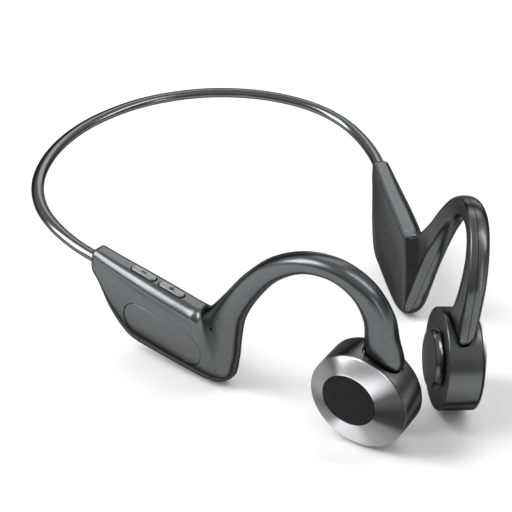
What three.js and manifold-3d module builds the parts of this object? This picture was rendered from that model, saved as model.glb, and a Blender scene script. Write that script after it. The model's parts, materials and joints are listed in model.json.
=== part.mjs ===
// Bone conduction headphones: a springy neckband joins two ear units. Each ear unit is a slim pod behind
// the ear, a hook over it, and a round transducer that rests on the cheekbone in front of it.
//
// Millimetres, +Z up. The wearer faces -Y and the wearer's left is +X. Both units are built from one
// description in a unit frame (+X away from the head, +Y rearwards, +Z up), and the right one is mirrored.
import * as THREE from 'three';
import { mergeVertices } from 'three/addons/utils/BufferGeometryUtils.js';
import Module from 'manifold-3d';

const wasm = await Module();
wasm.setup();

// ---- Driving dimensions -------------------------------------------------------------------------
const GAP = 0.3;                       // clearance between neighbouring pieces
const TOE_IN = THREE.MathUtils.degToRad(20.5);   // how far each unit turns in towards the face

// Transducer: a short drum whose axis points slightly forwards and down, away from the head
const DRUM_RADIUS = 12.5;
const DRUM_DEPTH = 8.2;
const DRUM_WALL = 1.1;
const DRUM_RIM = new THREE.Vector3(15.4, 5.75, 0);
const DRUM_AXIS = new THREE.Vector3(0.994, -0.088, -0.074).normalize();
const CONE_HEIGHT = 2.5;
const DISC_RADIUS = 6.8;
const DISC_OFFSET = [1.2, 1.4];        // the disc's centre, rearwards and upwards of the drum's axis
const POCKET_DEPTH = 1.7;              // of the disc's pocket in the cone
const PAD_RADIUS = 7;
const PAD_HEIGHT = 1.9;
const PAD_STEM = 4.2;
const SLOT_CLEARANCE = 0.4;            // round the hook's tip, where it enters the drum's wall
const PRESS_TRAVEL = 0.5;              // travel of every push button

// Ear unit shells
const SEAM_AT_RAIL = 0.6;              // depth of the seam between the shells, from the flat inner face
const SEAM_DEPTH = 1.7;
const SHELL_WALL = 1.1;
const EDGE_CHAMFER = 0.6;
const RAIL_DROP = 3.4;                 // height of the raised rail's side
const RAIL_SHORTFALL = 0.6;            // how much less deep the rail is than the pod's fullest section
const TOP_TAPER = 0.08;                // share of the pod's depth that is missing along its top edge

// Side panel: a pill-shaped inlay, [rearwards, up] of its middle
const PANEL_CENTRE = [63, -2.8];
const PANEL_LENGTH = 25;
const PANEL_WIDTH = 9.4;
const PANEL_TILT = 0.147;
const PANEL_THICKNESS = 0.5;

// Controls on the right unit
const BUTTON_LENGTH = 7.6;
const BUTTON_WIDTH = 2.1;
const BUTTON_PROUD = 0.45;
const BUTTON_INSET = 2.2;              // from the rail's inner edge to a button's middle
const BUTTON_PLACES = { volume_down: 70.9, volume_up: 62 };
const MIC_PLACE = [46.2, 5.9];         // [rearwards, up]
const MIC_HOLE = 0.45;
const HATCH_PLACE = [14.9, 66, -13];   // the charging hatch, under the pod
const HATCH_LENGTH = 11;
const HATCH_WIDTH = 2.8;

// Neckband: its middle line from inside the left pod to the back of the neck, [x, y]
const BAND_HALF = [[43, 71.3], [44.6, 75.5], [46.8, 82], [48.2, 90.5], [47.8, 99], [44.9, 107.4], [39.4, 115],
  [30.5, 122.3], [17.5, 128.2], [0, 130.8]];
const BAND_TILT = 0.171;               // rise per mm rearwards
const BAND_START_HEIGHT = 9.2;         // at the first point
const BAND_WIDTH = 3.45;
const BAND_HEIGHT = 2.7;
const BORE_WIDTH = 2.1;
const BORE_HEIGHT = 1.3;
const CORE_OFFSET = 0.5;               // of the spring wire and the signal cable from the middle line
const WIRE_RADIUS = 0.38;
const CABLE_RADIUS = 0.34;
const FLEX_AT = 0.3;                   // where along the band each side flexes
const FLEX_GAP = 0.25;                 // half the gap there

// ---- Tools for solids ---------------------------------------------------------------------------
function toSolid(geometry) {
  const isCut = geometry.index && !geometry.attributes.uv;   // already merged by an earlier cut
  const bare = geometry.clone();
  bare.deleteAttribute('normal');
  bare.deleteAttribute('uv');
  const merged = isCut ? bare : mergeVertices(bare, 1e-4);
  const corners = Array.from(merged.index.array);
  const triangles = [];
  for (let index = 0; index < corners.length; index += 3) {
    const [a, b, c] = corners.slice(index, index + 3);
    if (a !== b && b !== c && c !== a) {                      // a turned piece has flat ones on its axis
      triangles.push(a, b, c);
    }
  }
  const mesh = new wasm.Mesh({
    numProp: 3,
    vertProperties: new Float32Array(merged.attributes.position.array),
    triVerts: new Uint32Array(triangles),
  });
  return new wasm.Manifold(mesh);
}

function toGeometry(solid) {
  const mesh = solid.getMesh();
  const geometry = new THREE.BufferGeometry();
  geometry.setAttribute('position', new THREE.BufferAttribute(mesh.vertProperties, 3));
  geometry.setIndex(new THREE.BufferAttribute(mesh.triVerts, 1));
  return geometry;
}

function join(first, second) {
  return toGeometry(toSolid(first).add(toSolid(second)));
}

function subtract(geometry, ...tools) {
  return toGeometry(tools.reduce((rest, tool) => rest.subtract(toSolid(tool)), toSolid(geometry)));
}

function intersect(first, second) {
  return toGeometry(toSolid(first).intersect(toSolid(second)));
}

// The same piece for the other side of the head, its corners reordered so that faces still point out
function mirrored(geometry) {
  const copy = geometry.index ? geometry.toNonIndexed() : geometry.clone();
  const { position } = copy.attributes;
  const corner = new THREE.Vector3();
  const corners = Array.from({ length: position.count }, (_, index) => {
    return corner.fromBufferAttribute(position, index).clone();
  });
  corners.forEach(({ x, y, z }, index) => {
    const swapped = index % 3 === 0 ? index : index + (index % 3 === 1 ? 1 : -1);
    position.setXYZ(swapped, -x, y, z);
  });
  copy.deleteAttribute('normal');
  return copy;
}

function outline(points) {
  return new THREE.Shape(points.map(([across, up]) => new THREE.Vector2(across, up)));
}

function extruded(shape, depth, steps = 1) {
  return new THREE.ExtrudeGeometry(shape, { depth, steps, bevelEnabled: false });
}

// A pill, its length along X
function pill(length, width, segments = 3) {
  const radius = width / 2;
  const straight = length / 2 - radius;
  const shape = new THREE.Shape();
  shape.absarc(straight, 0, radius, -Math.PI / 2, Math.PI / 2);
  shape.absarc(-straight, 0, radius, Math.PI / 2, 1.5 * Math.PI);
  return new THREE.Shape(shape.getPoints(segments * 2).slice(0, -1));
}

function ellipse(width, height, segments) {
  return Array.from({ length: segments }, (_, index) => {
    const angle = 2 * Math.PI * index / segments;
    return new THREE.Vector2(Math.cos(angle) * width / 2, Math.sin(angle) * height / 2);
  });
}

// Half of a squarish oval: its flat side from [0, 0] to [1, 0], bulging to 1
function halfOval(points, squareness) {
  return Array.from({ length: points }, (_, index) => {
    const cosine = Math.cos(Math.PI * index / (points - 1));
    const down = (1 - Math.sign(cosine) * Math.abs(cosine) ** squareness) / 2;
    return [down, ovalRise(down, squareness)];
  });
}

// Height of that half oval above a place on its flat side
function ovalRise(down, squareness) {
  const cosine = Math.abs(1 - 2 * down) ** (1 / squareness);
  return (1 - cosine ** 2) ** (squareness / 2);
}

// Sweeps a flat shape: `place(along, across, up)` says where each of its points goes on the way
function sweep(shape, from, to, steps, place) {
  const geometry = extruded(shape, 1, steps);
  const { position } = geometry.attributes;
  for (let index = 0; index < position.count; index += 1) {
    const along = from + (to - from) * position.getZ(index);
    const point = place(along, position.getX(index), position.getY(index));
    position.setXYZ(index, point.x, point.y, point.z);
  }
  return geometry;
}

// A turned piece about Z from its [radius, height] profile, which closes on itself or on the axis
function turned(points, segments = 24) {
  const onAxis = points[0][0] === 0;
  const profile = (onAxis ? points : [...points, points[0]]).map(([radius, height]) => new THREE.Vector2(radius, height));
  return new THREE.LatheGeometry(profile, segments).rotateX(Math.PI / 2);
}

function disc(radius, low, high, segments = 24) {
  return turned([[0, low], [radius, low], [radius, high], [0, high]], segments);
}

function box(low, high) {
  const sizes = low.map((value, axis) => high[axis] - value);
  const middle = low.map((value, axis) => (value + high[axis]) / 2);
  return new THREE.BoxGeometry(...sizes).translate(...middle);
}

// ---- Ear unit: pod and hook ---------------------------------------------------------------------
// The flat inner face is a strip between a top edge and a foot edge. The top edge runs along the pod's
// rail, dips at the notch and climbs over the hook. The foot edge runs under the pod, up its front and
// round the inside of the hook. Each row is one section, from the neckband to the tip of the hook:
// [y, z] of both edges, x of the inner face at both, and the depth from there to the outer side.
const SECTIONS = [
  { top: [86.4, 13.1], foot: [86.4, 7], inner: [12.9, 12.9], depth: 5.1 },
  { top: [83.4, 12.5], foot: [84.2, 3.8], inner: [12.8, 12.5], depth: 5.5 },
  { top: [79, 11.7], foot: [81, -3.9], inner: [12.7, 11.8], depth: 5.9 },
  { top: [73, 10.7], foot: [75.7, -9.9], inner: [12.5, 11.1], depth: 6.4 },
  { top: [66, 9.6], foot: [67.3, -11.5], inner: [12.4, 10.8], depth: 6.8 },
  { top: [59, 8.4], foot: [57, -12.7], inner: [12.3, 10.6], depth: 7 },
  { top: [54, 7.6], foot: [50, -13.1], inner: [12.3, 10.5], depth: 7 },
  { top: [51.4, 7.7], foot: [45, -11.4], inner: [12.5, 10.6], depth: 6.8 },
  { top: [49.2, 9.6], foot: [42.5, -5.4], inner: [13.2, 11.7], depth: 6.4 },
  { top: [46.1, 12.9], foot: [40.4, 2.8], inner: [14.3, 13.3], depth: 5.9 },
  { top: [42, 17.9], foot: [37.9, 10.6], inner: [15.2, 14.8], depth: 5.5 },
  { top: [36.4, 24.9], foot: [32.8, 19.3], inner: [15.8, 15.6], depth: 5.2 },
  { top: [28.8, 31.9], foot: [26.5, 26.6], inner: [16, 15.9], depth: 5.1 },
  { top: [19.6, 36], foot: [18.8, 31.2], inner: [15.6, 15.5], depth: 5.1 },
  { top: [10.4, 35.8], foot: [12, 31.3], inner: [14.5, 14.4], depth: 5.1 },
  { top: [3.5, 31.6], foot: [7.5, 27.8], inner: [12.9, 13], depth: 5.1 },
  { top: [-0.9, 24.2], foot: [5.7, 22.5], inner: [11.4, 11.6], depth: 5.1 },
  { top: [-2, 17.4], foot: [5.9, 17], inner: [10.4, 10.6], depth: 5.1 },
  { top: [-2.9, 12.4], foot: [6.6, 13.6], inner: [9.6, 9.7], depth: 5 },
  { top: [-3, 9], foot: [6.9, 12.1], inner: [9.2, 9.2], depth: 5 },
];
const LAST = SECTIONS.length - 1;
const NOTCH = 6.3 / LAST;              // where along the sections the rail ends
const SEAM_SETTLED = 9 / LAST;         // where the seam has reached its full depth
const TIP_START = 16.5 / LAST;         // where the hook's front end starts to enter the drum
const UNIT_STEPS = 30;
const POD_STEPS = 10;

function edgeCurve(edge, side) {
  const points = SECTIONS.map((row) => new THREE.Vector3(row.inner[side], ...row[edge]));
  return new THREE.CatmullRomCurve3(points, false, 'centripetal');
}

const TOP_EDGE = edgeCurve('top', 0);
const FOOT_EDGE = edgeCurve('foot', 1);
const DEPTHS = new THREE.SplineCurve(SECTIONS.map((row, index) => new THREE.Vector2(index, row.depth)));

// A point of an edge; past the tip (along > 1) the edge runs on straight.
function edgePoint(curve, along) {
  const past = Math.max(along - 1, 0) * 100;
  return curve.getPoint(Math.min(along, 1)).addScaledVector(curve.getTangent(1), past);
}

// A point of the ear unit: `along` the sections (0 to 1), `down` from the top edge to the foot edge
// (0 to 1, both moved in by `inset` mm) and `out` mm from the flat inner face.
function unitPoint(along, down, out, inset = 0) {
  const top = edgePoint(TOP_EDGE, along);
  const foot = edgePoint(FOOT_EDGE, along);
  const margin = inset / top.distanceTo(foot);
  const point = top.lerp(foot, margin + down * (1 - 2 * margin));
  point.x += out;
  return point;
}

function outerDepth(along) {
  return DEPTHS.getPoint(Math.min(along, 1)).y;
}

// The pod's side is less deep towards its top edge; the hook's is equally deep all the way across.
function sideDepth(along, down) {
  const taper = TOP_TAPER * (1 - THREE.MathUtils.smoothstep(along, NOTCH, SEAM_SETTLED));
  return outerDepth(along) * (1 - taper * (1 - down) ** 2);
}

// Depth of the seam between the shells: shallow at the rail, deeper at the foot and all along the hook
function seamDepth(along, down) {
  const settled = THREE.MathUtils.smoothstep(along, NOTCH, SEAM_SETTLED);
  const atTop = THREE.MathUtils.lerp(SEAM_AT_RAIL, SEAM_DEPTH, settled);
  return THREE.MathUtils.lerp(atTop, SEAM_DEPTH, down);
}

// The outer side's section is squarish on the pod, a little rounder at its foot, and round on the hook
function squareness(along, down) {
  const pod = THREE.MathUtils.lerp(0.55, 0.62, THREE.MathUtils.smoothstep(down, 0.4, 1));
  return THREE.MathUtils.lerp(pod, 0.8, THREE.MathUtils.smoothstep(along, NOTCH, SEAM_SETTLED));
}

// The outer half of the unit as one filled body, `shrink` mm smaller all round, from `low` mm outwards
function outerBody(from, to, steps, shrink, low = null) {
  return sweep(outline(halfOval(11, 0.7)), from, to, steps, (along, down) => {
    const start = low ?? seamDepth(along, down) + GAP;
    const side = sideDepth(along, down) - shrink;
    const rise = ovalRise(down, squareness(along, down));
    return unitPoint(along, down, start + rise * (side - start), shrink);
  });
}

// The raised rail along the pod's top edge
function railBody(shrink, low = null) {
  const drop = RAIL_DROP - shrink;
  const round = Math.max(0.9 - shrink, 0.2);
  const profile = [[drop, 0], [drop, 0.8], [drop - round, 1], [shrink + round, 1], [shrink, 0.72], [shrink, 0]];
  return sweep(outline(profile), shrink * 0.012, NOTCH - shrink * 0.012, 12, (along, below, rise) => {
    const point = edgePoint(TOP_EDGE, along);
    const height = point.distanceTo(edgePoint(FOOT_EDGE, along));
    const start = low ?? seamDepth(along, below / height) + GAP;
    const crest = outerDepth(along) - RAIL_SHORTFALL - shrink;
    return point.add(new THREE.Vector3(start + rise * (crest - start), 0, -below));
  });
}

function innerShell() {
  const profile = [[1, 0], [1, 0.45], [1, 1], [0, 1], [0, 0.45], [0, 0]];
  return sweep(outline(profile), 0, 1, UNIT_STEPS, (along, down, rise) => {
    const chamfer = rise === 0 ? EDGE_CHAMFER : 0;
    return unitPoint(along, down, rise * seamDepth(along, down), chamfer);
  });
}

// Side panel: cut from the pod's own side, so that it follows the curve
function panelPrism(grow) {
  const prism = extruded(pill(PANEL_LENGTH + 2 * grow, PANEL_WIDTH + 2 * grow, 6), 10);
  const [rearwards, up] = PANEL_CENTRE;
  prism.rotateZ(PANEL_TILT).applyMatrix4(new THREE.Matrix4().makeBasis(REARWARDS, UPWARDS, OUTWARDS));
  return prism.translate(14, rearwards, up);
}

function sidePanel() {
  const slab = intersect(panelPrism(0), outerBody(0, NOTCH, POD_STEPS, 0));
  return subtract(slab, outerBody(0, NOTCH, POD_STEPS, PANEL_THICKNESS));
}

function panelRecess() {
  return subtract(panelPrism(GAP), outerBody(0, NOTCH, POD_STEPS, PANEL_THICKNESS + GAP, 0));
}

// A pill that stands in the rail's top, from `low` to `high` mm above it, at `rearwards` along the pod
function onRail(rearwards, length, width, low, high) {
  const [rear, front] = [SECTIONS[1].top, SECTIONS[5].top];
  const slope = Math.atan2(rear[1] - front[1], rear[0] - front[0]);
  const height = front[1] + (rearwards - front[0]) * Math.tan(slope);
  const piece = extruded(pill(length, width), high - low).translate(0, 0, low);
  piece.rotateZ(Math.PI / 2).rotateX(slope);
  return piece.translate(SECTIONS[3].inner[0] + BUTTON_INSET, rearwards, height);
}

function railButton(rearwards) {
  const cap = onRail(rearwards, BUTTON_LENGTH, BUTTON_WIDTH, -1.2, BUTTON_PROUD);
  return join(cap, onRail(rearwards, 1.6, 1, -1.7, -1));
}

function tactSwitch(rearwards) {
  return onRail(rearwards, 3.4, 1.6, -3.1, -1.7 - PRESS_TRAVEL - 0.15);
}

function hatchPrism(grow) {
  const prism = extruded(pill(HATCH_LENGTH + 2 * grow, HATCH_WIDTH + 2 * grow), 4);
  return prism.rotateZ(Math.PI / 2).translate(...HATCH_PLACE);
}

function chargeHatch() {
  const plug = intersect(hatchPrism(0), outerBody(0, NOTCH, POD_STEPS, 0));
  return subtract(plug, outerBody(0, NOTCH, POD_STEPS, 0.9));
}

function chargeSocket() {
  const [across, rearwards, up] = HATCH_PLACE;
  const [low, high] = [across - 2.1, across];
  const body = box([low, rearwards - 3.9, up + 5.2], [high, rearwards + 3.9, up + 9.2]);
  return subtract(body, box([low + 0.4, rearwards - 3.5, up + 5], [high - 0.4, rearwards + 3.5, up + 8.6]));
}

function pinhole() {
  const [rearwards, up] = MIC_PLACE;
  return disc(MIC_HOLE, 0, 12, 10).rotateY(Math.PI / 2).translate(12, rearwards, up);
}

function microphone() {
  const [rearwards, up] = MIC_PLACE;
  return disc(1.5, 0, 0.9, 12).rotateY(Math.PI / 2).translate(16.36, rearwards, up);
}

function outerShell(withControls) {
  const tools = [
    outerBody(0.014, 1.03, UNIT_STEPS, SHELL_WALL, 0),
    railBody(SHELL_WALL, 0),
    panelRecess(),
  ];
  if (withControls) {
    const openings = Object.values(BUTTON_PLACES).map((place) => {
      return onRail(place, BUTTON_LENGTH + 0.5, BUTTON_WIDTH + 0.5, -3, 2);
    });
    tools.push(...openings, pinhole(), hatchPrism(GAP));
  }
  return subtract(join(outerBody(0, 1, UNIT_STEPS, 0), railBody(0)), ...tools);
}

function hookWire() {
  const points = [7.2, 8, 10, 12, 14, 16, 17.5, 18.6].map((row) => {
    const seam = seamDepth(row / LAST, 0.5);
    return unitPoint(row / LAST, 0.5, seam + 1.15);
  });
  const path = new THREE.CatmullRomCurve3(points);
  return new THREE.ExtrudeGeometry(new THREE.Shape(ellipse(1, 1, 8)), { extrudePath: path, steps: 22 });
}

// ---- Transducer, turned about its axis (+Z away from the head, 0 at the outer rim) ---------------
const REARWARDS = new THREE.Vector3(0, 1, 0);
const UPWARDS = new THREE.Vector3(0, 0, 1);
const OUTWARDS = new THREE.Vector3(1, 0, 0);

function drumMatrix() {
  const rearwards = REARWARDS.clone().addScaledVector(DRUM_AXIS, -DRUM_AXIS.y).normalize();
  const upwards = DRUM_AXIS.clone().cross(rearwards);
  return new THREE.Matrix4().makeBasis(rearwards, upwards, DRUM_AXIS).setPosition(DRUM_RIM);
}

const SEAT = 0.15;                     // half the gap between housing and cone
const FLOOR = -DRUM_DEPTH + DRUM_WALL;

// The front end of a hook as one filled body, `grow` mm larger all round
function hookTip(grow) {
  const flatSide = sweep(outline([[1, 0], [1, 1], [0, 1], [0, 0]]), TIP_START, 1.02, 12, (along, down, rise) => {
    return unitPoint(along, down, THREE.MathUtils.lerp(-grow, SEAM_DEPTH + 0.1, rise), -grow);
  });
  return join(flatSide, outerBody(TIP_START, 1.02, 12, -grow, SEAM_DEPTH));
}

function drumHousing() {
  const inner = DRUM_RADIUS - DRUM_WALL;
  const hole = PAD_STEM + GAP;
  const cup = turned([[hole, -DRUM_DEPTH], [DRUM_RADIUS - 0.4, -DRUM_DEPTH], [DRUM_RADIUS, 0.4 - DRUM_DEPTH],
    [DRUM_RADIUS, -SEAT], [inner, -SEAT], [inner, FLOOR], [hole, FLOOR]], 36);
  const tongue = hookTip(SLOT_CLEARANCE);
  tongue.applyMatrix4(drumMatrix().invert());
  return subtract(cup, tongue);
}

function drumCone() {
  const edge = DISC_RADIUS + 0.35;
  const cone = turned([[0, SEAT], [DRUM_RADIUS, SEAT], [DRUM_RADIUS, 0.5], [edge, CONE_HEIGHT], [0, CONE_HEIGHT]], 36);
  const { position } = cone.attributes;
  for (let index = 0; index < position.count; index += 1) {
    const share = position.getZ(index) > 1 ? 1 : 0;
    position.setX(index, position.getX(index) + share * DISC_OFFSET[0]);
    position.setY(index, position.getY(index) + share * DISC_OFFSET[1]);
  }
  const pocket = disc(DISC_RADIUS + 0.2, CONE_HEIGHT - POCKET_DEPTH, 4, 32).translate(...DISC_OFFSET, 0);
  const switchHole = disc(2.2, -1, 2, 16).translate(...DISC_OFFSET, 0);
  return subtract(cone, pocket, switchHole);
}

function coneDisc(thickness) {
  return disc(DISC_RADIUS, CONE_HEIGHT - thickness, CONE_HEIGHT, 32).translate(...DISC_OFFSET, 0);
}

function contactPad() {
  const base = -DRUM_DEPTH - GAP;
  const face = -DRUM_DEPTH - PAD_HEIGHT;
  return turned([[0, face], [PAD_RADIUS, face], [PAD_RADIUS - 0.3, (base + face) / 2], [PAD_RADIUS + 0.6, base],
    [PAD_STEM, base], [PAD_STEM, FLOOR + 0.5], [0, FLOOR + 0.5]], 28);
}

const DRIVER = {
  spring_plate: turned([[1.5, -6.3], [10, -6.3], [10, -5.9], [1.5, -5.9]]),
  voice_coil: turned([[5.6, -5.6], [6.3, -5.6], [6.3, -3.2], [5.6, -3.2]]),
  driver_magnet: disc(5.1, -5.2, -2.8),
  driver_yoke: turned([[0, -2.5], [6.7, -2.5], [6.7, -4.9], [7.7, -4.9], [7.7, -1.4], [0, -1.4]]),
};

// ---- Neckband -----------------------------------------------------------------------------------
function bandPath() {
  const half = BAND_HALF.map(([x, y]) => {
    return new THREE.Vector3(x, y, BAND_START_HEIGHT + BAND_TILT * (y - BAND_HALF[0][1]));
  });
  const otherHalf = half.slice(0, -1).reverse().map(({ x, y, z }) => new THREE.Vector3(-x, y, z));
  return new THREE.CatmullRomCurve3([...half, ...otherHalf], false, 'centripetal');
}

const BAND = bandPath();

// A point of the band's cross-section: `inwards` of its middle line, towards the neck, and `up` from it
function bandPoint(along, inwards, up) {
  const tangent = BAND.getTangentAt(along);
  const side = new THREE.Vector3(-tangent.y, tangent.x, 0).normalize();
  const over = tangent.clone().cross(side).normalize();
  return BAND.getPointAt(along).addScaledVector(side, inwards).addScaledVector(over, up);
}

const flexShare = FLEX_GAP / BAND.getLength();
const BAND_LENGTHS = {
  left: [0, FLEX_AT - flexShare, 11],
  centre: [FLEX_AT + flexShare, 1 - FLEX_AT - flexShare, 16],
  right: [1 - FLEX_AT + flexShare, 1, 11],
};

function bandSleeve([from, to, steps]) {
  const section = new THREE.Shape(ellipse(BAND_WIDTH, BAND_HEIGHT, 10));
  section.holes.push(new THREE.Path(ellipse(BORE_WIDTH, BORE_HEIGHT, 6).reverse()));
  return sweep(section, from, to, steps, bandPoint);
}

function bandCore([from, to, steps], radius, offset) {
  const section = new THREE.Shape(ellipse(2 * radius, 2 * radius, 6));
  return sweep(section, from, to, steps, (along, across, up) => bandPoint(along, across + offset, up));
}

// ---- Assembly -----------------------------------------------------------------------------------
const material = (color, roughness, metalness) => new THREE.MeshStandardMaterial({ color, roughness, metalness });
const MATERIALS = {
  shell: material(0x4c4d50, 0.22, 0.55),
  panel: material(0x545558, 0.28, 0.55),
  button: material(0xa4a5a8, 0.35, 0.5),
  cone: material(0x9a9a9c, 0.25, 0.9),
  disc: material(0x222223, 0.7, 0.1),
  pad: material(0x5a5b5d, 0.5, 0.2),
  band: material(0x3f4043, 0.28, 0.4),
  steel: material(0xb8b8b8, 0.35, 0.95),
  copper: material(0xb87333, 0.4, 0.9),
  board: material(0x1f5a3a, 0.6, 0.05),
  cell: material(0xc8ccd0, 0.4, 0.6),
  plastic: material(0x1b1b1c, 0.6, 0.1),
};

function named(name, geometry, slot) {
  const mesh = new THREE.Mesh(geometry, MATERIALS[slot]);
  mesh.name = name;
  return mesh;
}

function bandSocket() {
  const section = new THREE.Shape(ellipse(BAND_WIDTH + 0.3, BAND_HEIGHT + 0.3, 10));
  return sweep(section, 0.0, 0.08, 4, bandPoint).rotateZ(TOE_IN);
}

// Pieces of one unit, in the unit frame: [name, geometry, material]
function unitPieces(side) {
  const isRight = side === 'right';
  const drum = drumMatrix();
  const inDrum = (geometry) => geometry.clone().applyMatrix4(drum);
  const pieces = [
    ['outer_shell', subtract(outerShell(isRight), bandSocket()), 'shell'],
    ['inner_shell', subtract(innerShell(), bandSocket()), 'shell'],
    ['side_panel', sidePanel(), 'panel'],
    ['hook_wire', hookWire(), 'steel'],
    ['transducer_housing', inDrum(drumHousing()), 'shell'],
    ['transducer_cone', inDrum(drumCone()), 'cone'],
    ['contact_pad', inDrum(contactPad()), 'pad'],
    ['spring_plate', inDrum(DRIVER.spring_plate), 'steel'],
    ['voice_coil', inDrum(DRIVER.voice_coil), 'copper'],
    ['driver_magnet', inDrum(DRIVER.driver_magnet), 'steel'],
    ['driver_yoke', inDrum(DRIVER.driver_yoke), 'steel'],
  ].map(([name, geometry, slot]) => [`${name}_${side}`, geometry, slot]);
  return [...pieces, ...(isRight ? rightPieces(inDrum) : leftPieces(inDrum))];
}

const PRESSED_DISC = 1;                // thickness of the disc that presses, which leaves room below it

function leftPieces(inDrum) {
  const tact = disc(1.7, -1, CONE_HEIGHT - PRESSED_DISC - PRESS_TRAVEL - 0.1, 16).translate(...DISC_OFFSET, 0);
  return [
    ['multifunction_button', inDrum(coneDisc(PRESSED_DISC)), 'disc'],
    ['multifunction_switch', inDrum(tact), 'plastic'],
    ['battery', box([13.8, -10, -4.5], [16, 10, 3.5]).rotateX(PANEL_TILT).translate(0, 62.5, -1.5), 'cell'],
  ];
}

function rightPieces(inDrum) {
  const pieces = [
    ['disc_right', inDrum(coneDisc(POCKET_DEPTH - GAP)), 'disc'],
    ['main_board', box([14.3, -12, 0], [15.1, 9, 7]).rotateX(PANEL_TILT).translate(0, 65, -2.5), 'board'],
    ['microphone', microphone(), 'plastic'],
    ['charge_socket', chargeSocket(), 'steel'],
    ['charge_hatch', chargeHatch(), 'plastic'],
  ];
  Object.entries(BUTTON_PLACES).forEach(([name, place]) => {
    pieces.push([`${name}_button`, railButton(place), 'button'], [`${name}_switch`, tactSwitch(place), 'plastic']);
  });
  return pieces;
}

const headset = new THREE.Group();
const leftUnit = new THREE.Group();
leftUnit.rotation.z = -TOE_IN;
unitPieces('left').forEach(([name, geometry, slot]) => leftUnit.add(named(name, geometry, slot)));
const rightUnit = new THREE.Group();
rightUnit.rotation.z = TOE_IN;
unitPieces('right').forEach(([name, geometry, slot]) => rightUnit.add(named(name, mirrored(geometry), slot)));
headset.add(leftUnit, rightUnit);

Object.entries(BAND_LENGTHS).forEach(([name, length]) => {
  headset.add(named(`neckband_sleeve_${name}`, bandSleeve(length), 'band'));
  headset.add(named(`neckband_wire_${name}`, bandCore(length, WIRE_RADIUS, CORE_OFFSET), 'steel'));
  headset.add(named(`signal_cable_${name}`, bandCore(length, CABLE_RADIUS, -CORE_OFFSET), 'copper'));
});

// The origin is the middle of the headset's underside
const bounds = new THREE.Box3().setFromObject(headset);
const middle = bounds.getCenter(new THREE.Vector3());
headset.position.set(-middle.x, -middle.y, -bounds.min.z);
headset.updateMatrixWorld(true);

export default headset;
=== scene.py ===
"""Looks for the bone conduction headphones: smooth shells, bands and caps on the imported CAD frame.

Shapes are worked out in millimetres in the unit frame that both ear units share (+X away from the head,
+Y rearwards, +Z up, 0 at the transducer's height) and then placed in the row frame, in metres.
"""

import json
import math

import bmesh
import bpy
from mathutils import Matrix, Vector
from mathutils.bvhtree import BVHTree


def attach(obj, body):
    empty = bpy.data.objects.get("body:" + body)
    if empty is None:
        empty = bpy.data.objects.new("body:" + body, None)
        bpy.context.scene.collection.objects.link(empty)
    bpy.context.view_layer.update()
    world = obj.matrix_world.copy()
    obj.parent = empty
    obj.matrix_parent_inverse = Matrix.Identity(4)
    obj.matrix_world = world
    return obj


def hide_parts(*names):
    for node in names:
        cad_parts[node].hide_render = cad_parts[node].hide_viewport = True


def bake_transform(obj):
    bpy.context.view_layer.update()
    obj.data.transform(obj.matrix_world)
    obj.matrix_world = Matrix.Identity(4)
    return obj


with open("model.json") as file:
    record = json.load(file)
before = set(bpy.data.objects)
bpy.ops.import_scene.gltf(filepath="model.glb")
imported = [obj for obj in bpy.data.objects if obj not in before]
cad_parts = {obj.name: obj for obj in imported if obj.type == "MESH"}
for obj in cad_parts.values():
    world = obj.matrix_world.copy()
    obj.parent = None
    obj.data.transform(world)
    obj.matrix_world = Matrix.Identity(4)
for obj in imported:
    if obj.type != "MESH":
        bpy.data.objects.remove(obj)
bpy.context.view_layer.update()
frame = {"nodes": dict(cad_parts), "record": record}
MM = 0.001
SIDES = ("left", "right")

# ---- Driving dimensions, in millimetres ----------------------------------------------------------
TOE_IN = math.radians(20.5)

DRUM_RADIUS = 12.5
DRUM_DEPTH = 8.2
DRUM_WALL = 1.1
SLOT_GAP = 0.2              # round the hook's tip, where it enters the drum's wall
SLOT_RIM = 0.65             # the slot's rebate, near the drum's surface
RIM_DEPTH = 0.4
HALF_SEAM = 0.08            # half the seam between drum and cap ring, and the gap between drum and pad
DRUM_RIM = Vector((15.4, 5.75, 0))
DRUM_AXIS = Vector((0.994, -0.088, -0.074)).normalized()
CONE_HEIGHT = 2.5
CONE_FOOT = 0.5             # the straight edge below the cone
DISC_RADIUS = 6.8
DISC_OFFSET = Vector((1.2, 1.4, 0))
DISC_GAP = 0.12
POCKET_DEPTH = 1.7
PRESSED_DISC = 1.0
PAD_RADIUS = 7.0
PAD_HEIGHT = 1.9
PAD_STEM = 4.2
PAD_LIP = 0.35              # the pad's waist lies this far inside its face
PAD_CROWN = 0.25

SEAM_AT_RAIL = 0.6
SEAM_DEPTH = 1.7
SEAM_GAP = 0.16
SHELL_WALL = 1.1
TOP_TAPER = 0.08
RAIL_SHORTFALL = 0.6
STRIP_WIDTH = 2.9           # the flat strip along the rail's top, next to the inner face
BUTTON_INSET = 2.2          # from the rail's inner edge to a button's middle
RAIL_SIDE = (1.9, 3.3)      # height of the rail's rounded side, at the neckband and at the notch
SHOULDER_SHARE = 0.95       # of that height, taken up by the rounding of the rail's shoulder
FILLET = 2.2                # height of the hollow below the rail's side
RAIL_POINTS = 22            # points of a section on the rail
LEAF_POINTS = 36            # points on the side below the rail
BACK_POINTS = 5             # points on the flat back
NOTCH_STEP = 0.022          # share of the unit's length over which the rail's front end drops
PLACE_PER_MM = 0.0175       # share of the unit's length that one millimetre takes near its ends
END_RADIUS = 1.5            # rounding of the pod's rear end
INNER_END_RADIUS = 0.28
POD_SQUARENESS = (0.55, 0.62)   # of the pod's outer side, near its top and at its foot
HOOK_SQUARENESS = 0.8
TOP_EDGE = (0.35, 1.1)      # rounding of the inner face's top edge, and how much it grows where the hook rises
FOOT_EDGE = (0.5, 1.5)      # the same for its foot edge
TIP_START, TIP_END = 0.956, 1.012
TIP_MIDDLE = 2.55           # the hook narrows to a U about this depth, from TIP_START to TIP_END
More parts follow.
